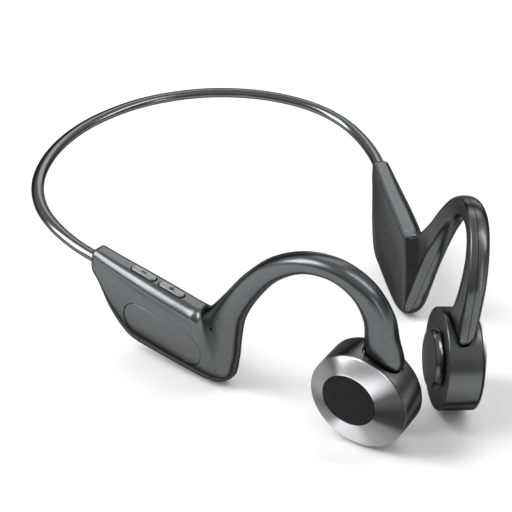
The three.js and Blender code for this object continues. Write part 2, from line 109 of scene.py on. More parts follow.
TIP_CORNER = 2.2            # and its top and foot edges come this much closer together

PANEL_CENTRE = (63, -2.8)
PANEL_LENGTH = 25
PANEL_WIDTH = 9.4
PANEL_TILT = 0.147
PANEL_THICKNESS = 0.5
PANEL_GAP = 0.14

BUTTON_LENGTH = 7.6
BUTTON_WIDTH = 2.1
BUTTON_PROUD = 0.45
BUTTON_GAP = 0.3
MARK_LENGTH = 1.6
MARK_WIDTH = 0.42
BUTTON_PLACES = {"volume_down": 70.9, "volume_up": 62}
MIC_PLACE = (46.2, 5.9)
MIC_HOLE = 0.45
HATCH_PLACE = (14.9, 66)
HATCH_LENGTH = 11
HATCH_WIDTH = 2.8
HATCH_GAP = 0.2
HATCH_THICKNESS = 0.9
HATCH_POCKET = 1.4          # depth of the opening that the hatch sits in

BAND_HALF = ((43, 71.3), (44.6, 75.5), (46.8, 82), (48.2, 90.5), (47.8, 99), (44.9, 107.4), (39.4, 115),
             (30.5, 122.3), (17.5, 128.2), (0, 130.8))
BAND_TILT = 0.171
BAND_START_HEIGHT = 9.2
BAND_WIDTH = 3.45
BAND_HEIGHT = 2.7
BAND_CLEARANCE = 0.12       # round the band where it enters a pod
CORE_OFFSET = 0.5
WIRE_RADIUS = 0.38
CABLE_RADIUS = 0.34

# Sections of an ear unit from the neckband to the hook's tip: (y, z) of the top edge and of the foot
# edge, x of the flat inner face at both, and the depth from there to the outer side.
SECTIONS = (
    ((86.4, 13.1), (86.4, 7), (12.9, 12.9), 5.1),
    ((83.4, 12.5), (84.2, 3.8), (12.8, 12.5), 5.5),
    ((79, 11.7), (81, -3.9), (12.7, 11.8), 5.9),
    ((73, 10.7), (75.7, -9.9), (12.5, 11.1), 6.4),
    ((66, 9.6), (67.3, -11.5), (12.4, 10.8), 6.8),
    ((59, 8.4), (57, -12.7), (12.3, 10.6), 7),
    ((54, 7.6), (50, -13.1), (12.3, 10.5), 7),
    ((51.4, 7.7), (45, -11.4), (12.5, 10.6), 6.8),
    ((49.2, 9.6), (42.5, -5.4), (13.2, 11.7), 6.4),
    ((46.1, 12.9), (40.4, 2.8), (14.3, 13.3), 5.9),
    ((42, 17.9), (37.9, 10.6), (15.2, 14.8), 5.5),
    ((36.4, 24.9), (32.8, 19.3), (15.8, 15.6), 5.2),
    ((28.8, 31.9), (26.5, 26.6), (16, 15.9), 5.1),
    ((19.6, 36), (18.8, 31.2), (15.6, 15.5), 5.1),
    ((10.4, 35.8), (12, 31.3), (14.5, 14.4), 5.1),
    ((3.5, 31.6), (7.5, 27.8), (12.9, 13), 5.1),
    ((-0.9, 24.2), (5.7, 22.5), (11.4, 11.6), 5.1),
    ((-2, 17.4), (5.9, 17), (10.4, 10.6), 5.1),
    ((-2.9, 12.4), (6.6, 13.6), (9.6, 9.7), 5),
    ((-3, 9), (6.9, 12.1), (9.2, 9.2), 5),
)
LAST = len(SECTIONS) - 1
SLOT_START = 16.5 / LAST    # where the filled form that cuts the drum's slot begins, on the hook
NOTCH = 6.3 / LAST
SEAM_SETTLED = 9 / LAST
TOPS = [Vector((inner[0], *top)) for top, foot, inner, depth in SECTIONS]
FEET = [Vector((inner[1], *foot)) for top, foot, inner, depth in SECTIONS]
DEPTHS = [Vector((depth, 0, 0)) for top, foot, inner, depth in SECTIONS]


# ---- Where things are ----------------------------------------------------------------------------
def mount_point(name):
    mounts = {mount["name"]: mount for mount in frame["record"]["mounts"]}
    return Vector(mounts[name]["pos_m"])


def datum():
    """The unit frame's origin in the row frame, from the left contact pad's face."""
    face = DRUM_RIM - DRUM_AXIS * (DRUM_DEPTH + PAD_HEIGHT)
    return mount_point("head_pad_left") - Matrix.Rotation(-TOE_IN, 3, "Z") @ face * MM


DATUM = datum()


def unit_matrix(side):
    turn = Matrix.Rotation(-TOE_IN, 4, "Z")
    mirror = Matrix.Diagonal((1 if side == "left" else -1, 1, 1, 1))
    return Matrix.Translation(DATUM) @ mirror @ turn @ Matrix.Scale(MM, 4)


def drum_matrix():
    """The drum's own frame in the unit frame: +Z along its axis, 0 at its outer rim."""
    rearwards = (Vector((0, 1, 0)) - DRUM_AXIS * DRUM_AXIS.y).normalized()
    upwards = DRUM_AXIS.cross(rearwards)
    turn = Matrix((rearwards, upwards, DRUM_AXIS)).transposed().to_4x4()
    return Matrix.Translation(DRUM_RIM) @ turn


def smoothstep(value, low, high):
    share = min(max((value - low) / (high - low), 0), 1)
    return share * share * (3 - 2 * share)


def mix(first, second, share):
    return first + (second - first) * share


def spline(points, share):
    """A centripetal Catmull-Rom curve through the points; past its end it runs on straight."""
    if share > 1:
        return points[-1] + (points[-1] - points[-2]).normalized() * (share - 1) * 100
    place = max(share, 0) * (len(points) - 1)
    first = min(int(place), len(points) - 2)
    weight = place - first
    a, b = points[first], points[first + 1]
    before = points[first - 1] if first > 0 else 2 * a - b
    after = points[first + 2] if first + 2 < len(points) else 2 * b - a
    step_a, step, step_b = [max(gap.length, 1e-6) ** 0.5 for gap in (a - before, b - a, after - b)]
    leave = (a - before) / step_a - (b - before) / (step_a + step) + (b - a) / step
    arrive = (b - a) / step - (after - a) / (step + step_b) + (after - b) / step_b
    leave, arrive = leave * step, arrive * step
    square, cube = weight ** 2, weight ** 3
    return (a * (2 * cube - 3 * square + 1) + leave * (cube - 2 * square + weight)
            + b * (3 * square - 2 * cube) + arrive * (cube - square))


# ---- Tools for meshes ----------------------------------------------------------------------------
def mesh_of(verts, faces):
    mesh = bpy.data.meshes.new("shape")
    mesh.from_pydata([tuple(vert) for vert in verts], [], faces)
    bm = bmesh.new()
    bm.from_mesh(mesh)
    bmesh.ops.recalc_face_normals(bm, faces=bm.faces)
    bm.to_mesh(mesh)
    bm.free()
    return mesh


def loft(rings):
    """A closed skin over rings of equally many points, with a flat cap at both ends."""
    count = len(rings[0])
    faces = []
    for row in range(len(rings) - 1):
        for index in range(count):
            after = (index + 1) % count
            faces.append((row * count + index, row * count + after,
                          (row + 1) * count + after, (row + 1) * count + index))
    faces.append(tuple(range(count - 1, -1, -1)))
    faces.append(tuple(range((len(rings) - 1) * count, len(rings) * count)))
    return mesh_of([point for ring in rings for point in ring], faces)


def turned(profile, segments=128):
    """A body turned about Z from a closed (radius, height) outline; points at radius 0 become one."""
    verts, rows = [], []
    for radius, height in profile:
        start = len(verts)
        if radius == 0:
            verts.append(Vector((0, 0, height)))
            rows.append([start] * segments)
            continue
        for index in range(segments):
            angle = 2 * math.pi * index / segments
            verts.append(Vector((radius * math.cos(angle), radius * math.sin(angle), height)))
        rows.append(list(range(start, start + segments)))
    faces = []
    closes = profile[0][0] != 0
    for row in range(len(rows) if closes else len(rows) - 1):
        here, there = rows[row], rows[(row + 1) % len(rows)]
        for index in range(segments):
            after = (index + 1) % segments
            corners = [here[index], here[after], there[after], there[index]]
            corners = list(dict.fromkeys(corners))
            if len(corners) > 2:
                faces.append(corners)
    return mesh_of(verts, faces)


def rounded(profile, radii, steps=4):
    """An outline with its corners rounded; `radii` gives each corner's radius, 0 to leave it sharp."""
    points = []
    for index, (corner, radius) in enumerate(zip(profile, radii)):
        here = Vector(corner)
        if radius == 0:
            points.append(tuple(here))
            continue
        before = (Vector(profile[index - 1]) - here).normalized()
        after = (Vector(profile[(index + 1) % len(profile)]) - here).normalized()
        start, end = here + before * radius, here + after * radius
        for step in range(steps + 1):
            share = step / steps
            bend = (1 - share) ** 2 * start + 2 * share * (1 - share) * here + share ** 2 * end
            points.append(tuple(bend))
    return points


def pill(length, width, segments=12):
    """Corners of a pill, its length along X."""
    radius = width / 2
    straight = length / 2 - radius
    corners = []
    for centre, start in ((straight, -math.pi / 2), (-straight, math.pi / 2)):
        for index in range(segments + 1):
            angle = start + math.pi * index / segments
            corners.append((centre + radius * math.cos(angle), radius * math.sin(angle)))
    return corners


def prism(outline, low, high, rim=0.0):
    """An outline pushed up from low to high, its top edge rounded by `rim`."""
    steps = 5 if rim else 1
    rings = [[Vector((x, y, low)) for x, y in outline]]
    for step in range(steps):
        angle = math.pi / 2 * step / max(steps - 1, 1)
        inset = rim * (1 - math.cos(angle))
        height = high - rim + rim * math.sin(angle)
        corners = [inset_point(outline, index, inset) for index in range(len(outline))]
        rings.append([Vector((*corner, height)) for corner in corners])
    return loft(rings)


def inset_point(outline, index, inset):
    here = Vector(outline[index])
    along = (Vector(outline[(index + 1) % len(outline)]) - Vector(outline[index - 1])).normalized()
    return here + Vector((-along.y, along.x)) * inset


def moved(mesh, matrix):
    mesh.transform(matrix)
    if matrix.determinant() < 0:
        mesh.flip_normals()
    return mesh


def cut(mesh, *tools):
    """The mesh with every tool mesh taken out of it."""
    body = bpy.data.objects.new("cut_body", mesh)
    bpy.context.collection.objects.link(body)
    helpers = [body]
    for tool in tools:
        helper = bpy.data.objects.new("cut_tool", tool)
        bpy.context.collection.objects.link(helper)
        helpers.append(helper)
        modifier = body.modifiers.new("cut", "BOOLEAN")
        modifier.operation = "DIFFERENCE"
        modifier.solver = "EXACT"
        modifier.object = helper
    graph = bpy.context.evaluated_depsgraph_get()
    result = bpy.data.meshes.new_from_object(body.evaluated_get(graph))
    for helper in helpers:
        bpy.data.objects.remove(helper)
    return result


def smooth(mesh, angle=32):
    """Smooth shading that breaks at edges sharper than the angle."""
    mesh.polygons.foreach_set("use_smooth", [True] * len(mesh.polygons))
    mesh.set_sharp_from_angle(angle=math.radians(angle))


# ---- Ear unit: shells ----------------------------------------------------------------------------
def seam_depth(along, down):
    settled = smoothstep(along, NOTCH, SEAM_SETTLED)
    return mix(mix(SEAM_AT_RAIL, SEAM_DEPTH, settled), SEAM_DEPTH, down)


def side_depth(along, down):
    taper = TOP_TAPER * (1 - smoothstep(along, NOTCH, SEAM_SETTLED))
    return spline(DEPTHS, min(along, 1)).x * (1 - taper * (1 - down) ** 2)


def oval_rise(down, squareness):
    """Height of a squarish half oval above a place on its flat side."""
    cosine = min(abs(1 - 2 * down) ** (1 / squareness), 1)
    return max(1 - cosine ** 2, 0) ** (squareness / 2)


def roundness(along, down):
    """The pod's outer side is squarish, a little rounder at its foot; the hook is round all over."""
    hook = smoothstep(along, NOTCH, SEAM_SETTLED)
    pod = mix(*POD_SQUARENESS, smoothstep(down, 0.4, 1))
    return mix(pod, HOOK_SQUARENESS, hook)


def unit_point(along, down, out, inset=0.0):
    top, foot = spline(TOPS, along), spline(FEET, along)
    rear = narrowing(along, END_RADIUS * PLACE_PER_MM, 0)
    tip = narrowing(along, TIP_START, TIP_END)
    margin = (inset + END_RADIUS * rear + TIP_CORNER * tip) / (top - foot).length
    point = top.lerp(foot, margin + down * (1 - 2 * margin))
    return point + Vector((mix(out, TIP_MIDDLE, tip), 0, 0))


def narrowing(along, start, end):
    """0 up to `start`, then rising as a quarter circle to close to 1 at `end`."""
    share = min(max((along - start) / (end - start), 0), 0.999)
    return 1 - math.sqrt(1 - share ** 2)


def leaf_depth(along, down):
    """Depth of the outer side where no rail stands on it."""
    start = seam_depth(along, down) + SEAM_GAP
    return start + oval_rise(down, roundness(along, down)) * (side_depth(along, down) - start)


def rail_corner(along, height):
    """(down, out) points of the rail: a flat strip along its top, a rounded shoulder, then its side."""
    crest = spline(DEPTHS, along).x - RAIL_SHORTFALL
    side = mix(*RAIL_SIDE, along / NOTCH)
    points = [(0, mix(seam_depth(along, 0) + SEAM_GAP, STRIP_WIDTH, index / 5)) for index in range(5)]
    for index in range(RAIL_POINTS - 6):
        angle = math.pi / 2 * index / (RAIL_POINTS - 7)
        below = SHOULDER_SHARE * side * (1 - math.cos(angle))
        points.append((below / height, STRIP_WIDTH + (crest - STRIP_WIDTH) * math.sin(angle)))
    return points + [(side / height, crest)]


def outer_ring(along, inset):
    height = (spline(TOPS, along) - spline(FEET, along)).length
    at_rail = min(along, NOTCH)
    rail_height = height if along < NOTCH else (spline(TOPS, NOTCH) - spline(FEET, NOTCH)).length
    rail = rail_corner(at_rail, rail_height)
    last_down, crest = rail[-1]
    gone = smoothstep(along, NOTCH - NOTCH_STEP / 2, NOTCH + NOTCH_STEP)
    line = []
    for index, (down, out) in enumerate(rail):
        bare = last_down * (index / (RAIL_POINTS - 1)) ** 2.5
        line.append((mix(down, bare, gone), mix(out, leaf_depth(along, bare), gone)))
    for index in range(1, LEAF_POINTS + 1):
        down = last_down + (1 - last_down) * math.sin(index / LEAF_POINTS * math.pi / 2)
        fade = (1 - gone) * (1 - smoothstep(down * height, last_down * height, last_down * height + FILLET))
        line.append((down, mix(leaf_depth(along, down), crest, fade)))
    for index in range(1, BACK_POINTS):
        down = 1 - index / BACK_POINTS
        line.append((down, seam_depth(along, down) + SEAM_GAP))
    return shrunk_ring(along, line, inset)


def shrunk_ring(along, line, inset):
    """The (down, out) outline in space, made `inset` mm less deep on both sides."""
    outs = [out for down, out in line]
    middle, half = (min(outs) + max(outs)) / 2, (max(outs) - min(outs)) / 2
    return [unit_point(along, down, mix(out, middle, inset / half)) for down, out in line]


def places_along(count, radius, last=1.0):
    """(place, inset) of each section: the neckband's end is rounded by `radius` mm."""
    steps = 7
    angles = [math.pi / 2 * step / steps for step in range(steps)]
    end = [(radius * (1 - math.cos(angle)) * PLACE_PER_MM, radius * (1 - math.sin(angle)))
           for angle in angles]
    reach = radius * PLACE_PER_MM
    rest = [(reach + (last - reach) * index / count, 0.0) for index in range(count + 1)]
    step_zone = [(NOTCH + NOTCH_STEP * (index / 8 - 0.5), 0.0) for index in range(17)]
    tip = [(mix(TIP_START, TIP_END, math.sin(math.pi / 2 * step / 12)), 0.0) for step in range(12)]
    return sorted(end + rest + step_zone + tip)


def outer_body():
    return loft([outer_ring(along, inset) for along, inset in places_along(240, END_RADIUS, TIP_END)])


def filled_body(first, last, steps, shrink, low, back=None):
    """The outer half as a plain filled body, `shrink` mm smaller all round, from `low` mm outwards.

    With `back` it also fills the space behind that, to `back` mm.
    """
    rings = []
    for step in range(steps + 1):
        along = mix(first, last, step / steps)
        ring = []
        for index in range(25):
            down = (1 - math.cos(math.pi * index / 24)) / 2
            rise = oval_rise(down, roundness(along, down))
            out = low + rise * (side_depth(along, down) - shrink - low)
            ring.append(unit_point(along, down, out, shrink))
        if back is not None:
            ring += [unit_point(along, down, back, shrink) for down in (1, 0.5, 0)]
        rings.append(ring)
    return loft(rings)


def edge_radii(along):
    """How far the inner face's rounding reaches in from the top edge and from the foot edge."""
    row = along * LAST
    top = TOP_EDGE[0] + TOP_EDGE[1] * smoothstep(row, 6.5, 8.5) * (1 - smoothstep(row, 11.5, 14))
    foot = FOOT_EDGE[0] + FOOT_EDGE[1] * smoothstep(row, 5, 7) * (1 - smoothstep(row, 11, 14))
    return top, foot


def inner_ring(along, inset):
    height = (spline(TOPS, along) - spline(FEET, along)).length
    top, foot = edge_radii(along)
    quarter = [math.pi / 2 * index / 8 for index in range(9)]
    near_top = [(top * (1 - math.cos(angle)) / height, 1 - math.sin(angle)) for angle in quarter]
    near_foot = [(1 - foot * (1 - math.cos(angle)) / height, 1 - math.sin(angle))
                 for angle in reversed(quarter)]
    line = near_top + [(0.35, 0), (0.65, 0)] + near_foot + [(0.75, 1), (0.5, 1), (0.25, 1)]
    return shrunk_ring(along, [(down, share * seam_depth(along, down)) for down, share in line], inset)


def inner_body():
    return loft([inner_ring(along, inset) for along, inset in places_along(220, INNER_END_RADIUS, TIP_END)])


# ---- Slabs that follow the pod's surface ----------------------------------------------------------
def surface_slab(tree, outline, place, direction, low, high, rim=0.0, rows=6):
    """A slab over a flat pill outline, laid where rays from `place(x, y)` along `direction` hit a surface.

    It runs from `low` to `high` mm above the surface, and its top edge is rounded by `rim`.
    """
    half_width = max(abs(y) for x, y in outline)
    straight = max(abs(x) for x, y in outline) - half_width

    def ring(share, height):
        points = []
        for x, y in outline:
            core = min(max(x, -straight), straight)
            hit = tree.ray_cast(place(core + (x - core) * share, y * share), direction)[0]
            points.append(hit - direction * height)
        return points

    shares = [0.02] + [index / rows for index in range(1, rows)]
    rings = [ring(share, low) for share in [*shares, 1]]
    for step in range(5):
        angle = math.pi / 2 * step / 4
        rings.append(ring(1 - rim * (1 - math.cos(angle)) / half_width, high - rim + rim * math.sin(angle)))
    return loft(rings + [ring(share, high) for share in reversed(shares)])


def tree_of(mesh):
    bm = bmesh.new()
    bm.from_mesh(mesh)
    tree = BVHTree.FromBMesh(bm)
    bm.free()
    return tree


def on_panel(x, y):
    """Where the panel's outline point lies beside the pod, seen from the side."""
    tilt_x = x * math.cos(PANEL_TILT) - y * math.sin(PANEL_TILT)
    tilt_y = x * math.sin(PANEL_TILT) + y * math.cos(PANEL_TILT)
    return Vector((40, PANEL_CENTRE[0] + tilt_x, PANEL_CENTRE[1] + tilt_y))


def on_hatch(x, y):
    return Vector((HATCH_PLACE[0] + y, HATCH_PLACE[1] + x, -40))


def rail_matrix(rearwards):
    """A frame on the rail's top with its X along the rail and its Z out of it."""
    rear, front = SECTIONS[1][0], SECTIONS[5][0]
    slope = math.atan2(rear[1] - front[1], rear[0] - front[0])
    height = front[1] + (rearwards - front[0]) * math.tan(slope)
    across = TOPS[3].x + BUTTON_INSET
    turn = Matrix.Rotation(slope, 4, "X") @ Matrix.Rotation(math.pi / 2, 4, "Z")
    return Matrix.Translation((across, rearwards, height)) @ turn


# ---- Neckband --------------------------------------------------------------------------------------
def band_points():
    start = BAND_HALF[0][1]
    half = [Vector((x, y, BAND_START_HEIGHT + BAND_TILT * (y - start))) for x, y in BAND_HALF]
    other = [Vector((-point.x, point.y, point.z)) for point in reversed(half[:-1])]
    return half + other


BAND = band_points()


def band_tube(first, last, steps, width, height, offset=0.0, corners=28):
    rings = []
    for step in range(steps + 1):
        along = mix(first, last, step / steps)
        here = spline(BAND, along)
        tangent = (spline(BAND, min(along + 1e-3, 1)) - spline(BAND, max(along - 1e-3, 0))).normalized()
        side = Vector((-tangent.y, tangent.x, 0)).normalized()
        over = tangent.cross(side).normalized()
        ring = []
        for index in range(corners):
            angle = 2 * math.pi * index / corners
            across = math.cos(angle) * width / 2 + offset
            ring.append(here + side * across + over * (math.sin(angle) * height / 2))
        rings.append(ring)
    return loft(rings)


# ---- Materials -------------------------------------------------------------------------------------
def material(name, color, roughness, metallic, spread=0.05, bump=0.0, grain=900.0, coat=0.0, edge_lightening=0.0,
             tint=1.0, specular=0.5, painted_reflections=()):
    """A node material: noise varies its roughness and tone, and a fine bump gives its grain.

    Painted reflections can be given: dark and light stripes painted into the colour by viewing angle, each
    (how far the surface is turned away from the view, how much of its colour is left there).
    """
    made = bpy.data.materials.new(name)
    made.use_nodes = True
    nodes, links = made.node_tree.nodes, made.node_tree.links
    shader = nodes["Principled BSDF"]
    shader.inputs["Metallic"].default_value = metallic
    shader.inputs["Coat Weight"].default_value = coat
    shader.inputs["Coat Roughness"].default_value = 0.06
    shader.inputs["Specular Tint"].default_value = (tint, tint, tint, 1)
    shader.inputs["Specular IOR Level"].default_value = specular

    place = nodes.new("ShaderNodeTexCoord")
    cloud = nodes.new("ShaderNodeTexNoise")
    cloud.inputs["Scale"].default_value = 90
    cloud.inputs["Detail"].default_value = 5
    links.new(place.outputs["Object"], cloud.inputs["Vector"])
    level = nodes.new("ShaderNodeMapRange")
    level.inputs["To Min"].default_value = roughness - spread
    level.inputs["To Max"].default_value = roughness + spread
    links.new(cloud.outputs["Fac"], level.inputs["Value"])
    links.new(level.outputs["Result"], shader.inputs["Roughness"])

    flakes = nodes.new("ShaderNodeTexNoise")
    flakes.inputs["Scale"].default_value = grain * 3
    flakes.inputs["Detail"].default_value = 2
    links.new(place.outputs["Object"], flakes.inputs["Vector"])
    tone = nodes.new("ShaderNodeValToRGB")
    tone.color_ramp.elements[0].position = 0.3
    tone.color_ramp.elements[0].color = (*[channel * 0.9 for channel in color], 1)
    tone.color_ramp.elements[1].position = 0.7
    tone.color_ramp.elements[1].color = (*[min(channel * 1.1, 1) for channel in color], 1)
    links.new(flakes.outputs["Fac"], tone.inputs["Fac"])
    base = tone.outputs["Color"]
    # lightens the colour, up to 2.2 times, at sharp convex edges picked out by pointiness
    if edge_lightening:
        geometry = nodes.new("ShaderNodeNewGeometry")
        edge = nodes.new("ShaderNodeMapRange")
        edge.inputs["From Min"].default_value = 0.53
        edge.inputs["From Max"].default_value = 0.62
        edge.inputs["To Max"].default_value = edge_lightening
        links.new(geometry.outputs["Pointiness"], edge.inputs["Value"])
        blend = nodes.new("ShaderNodeMix")
        blend.data_type = "RGBA"
        blend.inputs[7].default_value = (*[min(channel * 2.2, 1) for channel in color], 1)
        links.new(edge.outputs["Result"], blend.inputs[0])
        links.new(base, blend.inputs[6])
        base = blend.outputs[2]
    # painted reflections: the colour is darkened and lightened in stripes by how far the surface turns from
    # the view, standing in for studio reflections
    if painted_reflections:
        turned_away = nodes.new("ShaderNodeLayerWeight")
        turned_away.inputs["Blend"].default_value = 0.5
        painted_reflection_ramp = nodes.new("ShaderNodeValToRGB")
        painted_reflection_ramp.color_ramp.interpolation = "EASE"
        painted_reflection_ramp.color_ramp.elements[0].color = (1, 1, 1, 1)
        for share, left in painted_reflections:
            painted_reflection_ramp.color_ramp.elements.new(share).color = (left, left, left, 1)
        painted_reflection_ramp.color_ramp.elements.remove(painted_reflection_ramp.color_ramp.elements[-1])
        links.new(turned_away.outputs["Facing"], painted_reflection_ramp.inputs["Fac"])
        painted_base = nodes.new("ShaderNodeVectorMath")
        painted_base.operation = "MULTIPLY"
        links.new(base, painted_base.inputs[0])
        links.new(painted_reflection_ramp.outputs["Color"], painted_base.inputs[1])
        base = painted_base.outputs["Vector"]
    links.new(base, shader.inputs["Base Color"])

    if bump:
        relief = nodes.new("ShaderNodeTexNoise")
        relief.inputs["Scale"].default_value = grain
        relief.inputs["Detail"].default_value = 3
        links.new(place.outputs["Object"], relief.inputs["Vector"])
        normal = nodes.new("ShaderNodeBump")
        normal.inputs["Strength"].default_value = bump
        normal.inputs["Distance"].default_value = 0.00005
        links.new(relief.outputs["Fac"], normal.inputs["Height"])
        links.new(normal.outputs["Normal"], shader.inputs["Normal"])
    return made


def turned_metal(name, painted_fan_tones, roughness, side):
    """Metal turned on a lathe: fine rings about the drum's axis, and light and dark fans round it.

    Its light and dark fans are painted reflections, each given as (angle in degrees, brightness): 0 is
    rearwards, 90 is up and 180 is forwards.
    """
    made = material(name, (0.5, 0.5, 0.505), roughness, 1.0, spread=0.03)
    nodes, links = made.node_tree.nodes, made.node_tree.links
    shader = nodes["Principled BSDF"]
    position, rotation, scale = (unit_matrix(side) @ drum_matrix()).decompose()
    place = nodes.new("ShaderNodeTexCoord")
    local = nodes.new("ShaderNodeMapping")
    local.vector_type = "TEXTURE"
    local.inputs["Location"].default_value = position
    local.inputs["Rotation"].default_value = rotation.to_euler()
    local.inputs["Scale"].default_value = scale
    links.new(place.outputs["Object"], local.inputs["Vector"])

    angle = nodes.new("ShaderNodeTexGradient")
    angle.gradient_type = "RADIAL"
    links.new(local.outputs["Vector"], angle.inputs["Vector"])
    # painted reflections: light and dark fans painted into the colour by angle round the drum's axis, standing
    # in for highlights on turned metal
    fans = nodes.new("ShaderNodeValToRGB")
    fans.color_ramp.interpolation = "EASE"
    stops = sorted(((degrees / 360 + 0.5) % 1, tone) for degrees, tone in painted_fan_tones)
    for share, tone in stops:
        stop = fans.color_ramp.elements.new(share)
        stop.color = (tone, tone, tone * 1.01, 1)
    fans.color_ramp.elements[0].color = (stops[-1][1],) * 3 + (1,)
    fans.color_ramp.elements.remove(fans.color_ramp.elements[-1])
    links.new(angle.outputs["Fac"], fans.inputs["Fac"])
    links.new(fans.outputs["Color"], shader.inputs["Base Color"])

    rings = nodes.new("ShaderNodeTexWave")
    rings.wave_type = "RINGS"
    rings.rings_direction = "Z"
    rings.inputs["Scale"].default_value = 1.2
    links.new(local.outputs["Vector"], rings.inputs["Vector"])
    normal = nodes.new("ShaderNodeBump")
    normal.inputs["Strength"].default_value = 0.06
    normal.inputs["Distance"].default_value = 0.00005
    links.new(rings.outputs["Fac"], normal.inputs["Height"])
    links.new(normal.outputs["Normal"], shader.inputs["Normal"])
    return made


# Painted reflections on the cone rings: (angle in degrees, brightness) of the light and dark fans painted into
# their colour.
CONE_PAINTED_FANS = ((16, 0.25), (57, 0.16), (74, 0.8), (122, 0.85), (150, 0.09), (176, 0.03), (192, 0.04),
             (212, 0.22), (240, 0.32), (275, 0.7), (298, 0.8), (318, 0.15), (345, 0.06))
# Painted reflections: dark and light stripes by viewing angle, painted into the shell, panel, pad and band
# colours; each is (how far the surface is turned away, how much of its colour is left).
PAINTED_REFLECTION_BANDS = ((0.4, 1.0), (0.53, 0.25), (0.64, 1.0), (0.8, 0.2), (0.99, 0.1))
MATERIALS = {
    "shell": material("gunmetal_gloss", (0.125, 0.126, 0.128), 0.3, 1.0, spread=0.02, bump=0.012,
                      edge_lightening=0.15, tint=0.4, painted_reflections=PAINTED_REFLECTION_BANDS),
    "panel": material("gunmetal_satin", (0.13, 0.131, 0.133), 0.32, 1.0, spread=0.02, bump=0.012, tint=0.4,
                      painted_reflections=PAINTED_REFLECTION_BANDS),
    # painted light: the caps' colour is lighter than the shell's to stand in for the light on their up-facing
    # tops
    "button": material("button_satin", (0.22, 0.22, 0.225), 0.36, 0.8, spread=0.04, bump=0.03, tint=0.5),
    **{f"cone_{side}": turned_metal(f"turned_metal_{side}", CONE_PAINTED_FANS, 0.3, side) for side in SIDES},
    "disc": material("disc_matte", (0.008, 0.008, 0.0085), 0.6, 0.0, spread=0.05, bump=0.1, grain=2500,
                     specular=0.12),
    "pad": material("pad_satin", (0.12, 0.121, 0.123), 0.22, 0.95, spread=0.03, bump=0.02, tint=0.4,
                    painted_reflections=PAINTED_REFLECTION_BANDS),
    "band": material("band_gloss", (0.14, 0.141, 0.143), 0.14, 1.0, spread=0.03, bump=0.01, tint=0.4,
                     painted_reflections=PAINTED_REFLECTION_BANDS),
    "steel": material("spring_steel", (0.55, 0.55, 0.56), 0.3, 1.0, bump=0.1),
    "copper": material("copper_winding", (0.6, 0.27, 0.13), 0.35, 1.0, bump=0.3, grain=4000),
    "board": material("board_resist", (0.02, 0.11, 0.05), 0.4, 0.0, bump=0.15, coat=0.3),
    "cell": material("cell_foil", (0.6, 0.61, 0.63), 0.33, 0.9, bump=0.25, grain=400),
    "plastic": material("plastic_matte", (0.025, 0.025, 0.027), 0.5, 0.0, bump=0.15),
    "mark": material("mark_ink", (0.006, 0.006, 0.006), 0.6, 0.0, bump=0.1, specular=0.2),
}


# ---- Pieces ----------------------------------------------------------------------------------------
def piece(name, mesh, side, slot, body, *nodes):
    """A finished piece: placed in the row frame, smooth, with its finish, riding on its body."""
    if side:
        moved(mesh, unit_matrix(side))
    smooth(mesh)
    mesh.materials.clear()
    mesh.materials.append(MATERIALS[f"cone_{side}" if slot == "cone" else slot])
    made = bpy.data.objects.new(name, mesh)
    bpy.context.collection.objects.link(made)
    if body:
        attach(made, body)
    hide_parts(*nodes)
    return made


def band_socket():
    """The room for the neckband's end in the pod, in the unit frame."""
    socket = band_tube(0, 0.06, 10, BAND_WIDTH + 2 * BAND_CLEARANCE, BAND_HEIGHT + 2 * BAND_CLEARANCE)
    return moved(socket, Matrix.Rotation(TOE_IN, 4, "Z"))


def make_shells(side):
    body = f"{side}_side"
    solid = outer_body()
    tree = tree_of(solid)
    outwards, down = Vector((-1, 0, 0)), Vector((0, 0, 1))
    outline = pill(PANEL_LENGTH, PANEL_WIDTH)
    recess_outline = pill(PANEL_LENGTH + 2 * PANEL_GAP, PANEL_WIDTH + 2 * PANEL_GAP)
    panel = surface_slab(tree, outline, on_panel, outwards, -PANEL_THICKNESS, 0, rim=0.16)
    tools = [
        filled_body(0.014, 1.02, 60, SHELL_WALL, -0.2),
        surface_slab(tree, recess_outline, on_panel, outwards, -PANEL_THICKNESS - 0.2, 1.0),
        band_socket(),
    ]
    if side == "right":
        opening = pill(BUTTON_LENGTH + 2 * BUTTON_GAP, BUTTON_WIDTH + 2 * BUTTON_GAP)
        tools += [moved(prism(opening, -3, 2), rail_matrix(place)) for place in BUTTON_PLACES.values()]
        hole = turned([(0, 0), (MIC_HOLE, 0), (MIC_HOLE, 12), (0, 12)], 24)
        aim = Matrix.Translation((12, *MIC_PLACE)) @ Matrix.Rotation(math.pi / 2, 4, "Y")
        tools.append(moved(hole, aim))
        hatch_outline = pill(HATCH_LENGTH, HATCH_WIDTH)
        hatch_hole = pill(HATCH_LENGTH + 2 * HATCH_GAP, HATCH_WIDTH + 2 * HATCH_GAP)
        tools.append(surface_slab(tree, hatch_hole, on_hatch, down, -HATCH_POCKET, 1.0))
        hatch = surface_slab(tree, hatch_outline, on_hatch, down, -HATCH_THICKNESS, 0, rim=0.15)
        piece("charge_hatch_cover", hatch, side, "plastic", "hatch", "charge_hatch")
    piece(f"outer_shell_skin_{side}", cut(solid, *tools), side, "shell", body, f"outer_shell_{side}")
    inner = cut(inner_body(), band_socket())
    piece(f"inner_shell_skin_{side}", inner, side, "shell", body, f"inner_shell_{side}")
    piece(f"side_panel_inlay_{side}", panel, side, "panel", body, f"side_panel_{side}")


